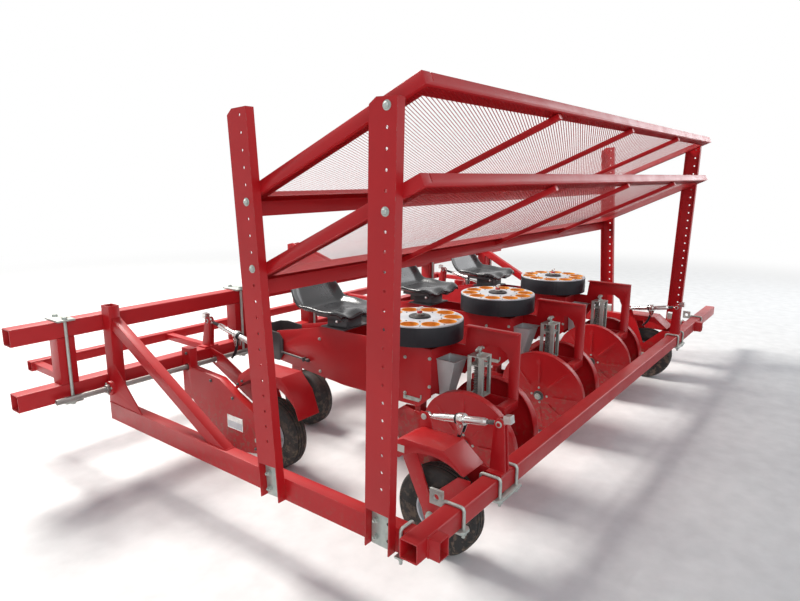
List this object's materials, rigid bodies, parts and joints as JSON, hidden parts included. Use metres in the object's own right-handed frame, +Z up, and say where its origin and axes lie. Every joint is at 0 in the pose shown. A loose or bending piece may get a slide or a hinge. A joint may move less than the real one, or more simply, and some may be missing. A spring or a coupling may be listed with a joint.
{
  "type": "vegetable transplanter",
  "caption": "Row-crop seedling transplanter for a three-point hitch: tray racks over a toolbar frame, planting units with cup carousels, bucket seats, closing discs and ground drive wheels.",
  "frame": {"origin": "centre of the bounding box at ground height, under the machine", "axes": "+Z up; -Y towards the tractor hitch; +Y towards the rear toolbar; +X across the machine, the near side of the picture"},
  "size_m": [5.33, 3.062, 1.9819],
  "materials": {
    "red_paint": "gloss red paint over steel, a little worn and dusty",
    "zinc": "dull galvanised zinc",
    "bright_zinc": "bright zinc plate",
    "dark_steel": "dark painted steel",
    "bare_steel": "bare drawn steel bar",
    "grey_steel": "grey painted steel",
    "grey_sheet": "light grey painted sheet",
    "black_plastic": "matt black moulded plastic",
    "black_seat": "glossy black moulded seat",
    "pale_plate": "light grey painted sheet",
    "tyre": "black rubber, dusty",
    "black_tyre": "black rubber wheel"
  },
  "bodies": {
    "transplanter": {"rear_toolbar": "red_paint", "side_beams": "red_paint", "side_posts": "red_paint", "side_braces": "red_paint", "front_upper_bar": "red_paint", "front_lower_bar": "red_paint", "outer_bar": "red_paint", "bar_rungs": "red_paint", "bar_spacers": "red_paint", "hitch_lugs": "red_paint", "hitch_mast": "red_paint", "rack_posts": "red_paint", "upper_rack_frame": "red_paint", "lower_rack_frame": "red_paint", "rack_meshes": "red_paint", "wheel_forks": "red_paint", "drive_cases": "red_paint", "fenders": "red_paint", "unit_frames": "red_paint", "opener_shoes": "red_paint", "press_arms": "red_paint", "gauge_arms": "red_paint", "bar_clamps": "zinc", "foot_plates": "zinc", "u_bolts": "zinc", "clevis_brackets": "red_paint", "unit_pivots": "dark_steel", "turnbuckles": "bright_zinc", "link_cranks": "black_plastic", "drop_chutes": "grey_sheet", "spring_boxes": "zinc", "seat_bases": "grey_steel", "seat_pans": "black_seat"},
    "wheel_rear_near": {"tyre_rear_near": "tyre", "rim_rear_near": "pale_plate"},
    "wheel_rear_far": {"tyre_rear_far": "tyre", "rim_rear_far": "pale_plate"},
    "wheel_front_near": {"tyre_front_near": "tyre", "rim_front_near": "pale_plate"},
    "wheel_front_far": {"tyre_front_far": "tyre", "rim_front_far": "pale_plate"},
    "drive_shaft": {"drive_shaft": "bare_steel"},
    "gauge_wheel_1": {"gauge_wheel_1": "black_tyre"},
    "press_disc_1_near": {"press_disc_1_near": "red_paint"},
    "press_disc_1_far": {"press_disc_1_far": "red_paint"},
    "carousel_1": {"carousel_drum_1": "black_plastic", "carousel_plate_1": "pale_plate"},
    "gauge_wheel_2": {"gauge_wheel_2": "black_tyre"},
    "press_disc_2_near": {"press_disc_2_near": "red_paint"},
    "press_disc_2_far": {"press_disc_2_far": "red_paint"},
    "carousel_2": {"carousel_drum_2": "black_plastic", "carousel_plate_2": "pale_plate"},
    "gauge_wheel_3": {"gauge_wheel_3": "black_tyre"},
    "press_disc_3_near": {"press_disc_3_near": "red_paint"},
    "press_disc_3_far": {"press_disc_3_far": "red_paint"},
    "carousel_3": {"carousel_drum_3": "black_plastic", "carousel_plate_3": "pale_plate"}
  },
  "joints": [
    {"name": "spin_wheel_rear_near", "type": "hinge", "parent": "transplanter", "child": "wheel_rear_near", "pos_m": [1.705, 1.206, 0.205], "axis": [1, 0, 0], "continuous": true},
    {"name": "spin_wheel_rear_far", "type": "hinge", "parent": "transplanter", "child": "wheel_rear_far", "pos_m": [-1.415, 1.206, 0.205], "axis": [1, 0, 0], "continuous": true},
    {"name": "spin_wheel_front_near", "type": "hinge", "parent": "transplanter", "child": "wheel_front_near", "pos_m": [1.605, 0.001, 0.205], "axis": [1, 0, 0], "continuous": true},
    {"name": "spin_wheel_front_far", "type": "hinge", "parent": "transplanter", "child": "wheel_front_far", "pos_m": [-1.315, 0.001, 0.205], "axis": [1, 0, 0], "continuous": true},
    {"name": "spin_drive_shaft", "type": "hinge", "parent": "transplanter", "child": "drive_shaft", "pos_m": [0.145, -0.662, 0.5], "axis": [1, 0, 0], "continuous": true},
    {"name": "spin_gauge_wheel_1", "type": "hinge", "parent": "transplanter", "child": "gauge_wheel_1", "pos_m": [-0.769, -0.304, 0.19], "axis": [1, 0, 0], "continuous": true},
    {"name": "spin_press_disc_1_near", "type": "hinge", "parent": "transplanter", "child": "press_disc_1_near", "pos_m": [-0.614, 1.03, 0.29], "axis": [0.9848, 0, -0.1736], "continuous": true},
    {"name": "spin_press_disc_1_far", "type": "hinge", "parent": "transplanter", "child": "press_disc_1_far", "pos_m": [-0.924, 1.03, 0.29], "axis": [0.9848, 0, 0.1736], "continuous": true},
    {"name": "turn_carousel_1", "type": "hinge", "parent": "transplanter", "child": "carousel_1", "pos_m": [-0.769, 0.618, 0.77], "axis": [0, 0, 1], "continuous": true},
    {"name": "spin_gauge_wheel_2", "type": "hinge", "parent": "transplanter", "child": "gauge_wheel_2", "pos_m": [0.145, -0.304, 0.19], "axis": [1, 0, 0], "continuous": true},
    {"name": "spin_press_disc_2_near", "type": "hinge", "parent": "transplanter", "child": "press_disc_2_near", "pos_m": [0.3, 1.03, 0.29], "axis": [0.9848, 0, -0.1736], "continuous": true},
    {"name": "spin_press_disc_2_far", "type": "hinge", "parent": "transplanter", "child": "press_disc_2_far", "pos_m": [-0.01, 1.03, 0.29], "axis": [0.9848, 0, 0.1736], "continuous": true},
    {"name": "turn_carousel_2", "type": "hinge", "parent": "transplanter", "child": "carousel_2", "pos_m": [0.145, 0.618, 0.77], "axis": [0, 0, 1], "continuous": true},
    {"name": "spin_gauge_wheel_3", "type": "hinge", "parent": "transplanter", "child": "gauge_wheel_3", "pos_m": [1.059, -0.304, 0.19], "axis": [1, 0, 0], "continuous": true},
    {"name": "spin_press_disc_3_near", "type": "hinge", "parent": "transplanter", "child": "press_disc_3_near", "pos_m": [1.214, 1.03, 0.29], "axis": [0.9848, 0, -0.1736], "continuous": true},
    {"name": "spin_press_disc_3_far", "type": "hinge", "parent": "transplanter", "child": "press_disc_3_far", "pos_m": [0.904, 1.03, 0.29], "axis": [0.9848, 0, 0.1736], "continuous": true},
    {"name": "turn_carousel_3", "type": "hinge", "parent": "transplanter", "child": "carousel_3", "pos_m": [1.059, 0.618, 0.77], "axis": [0, 0, 1], "continuous": true}
  ]
}
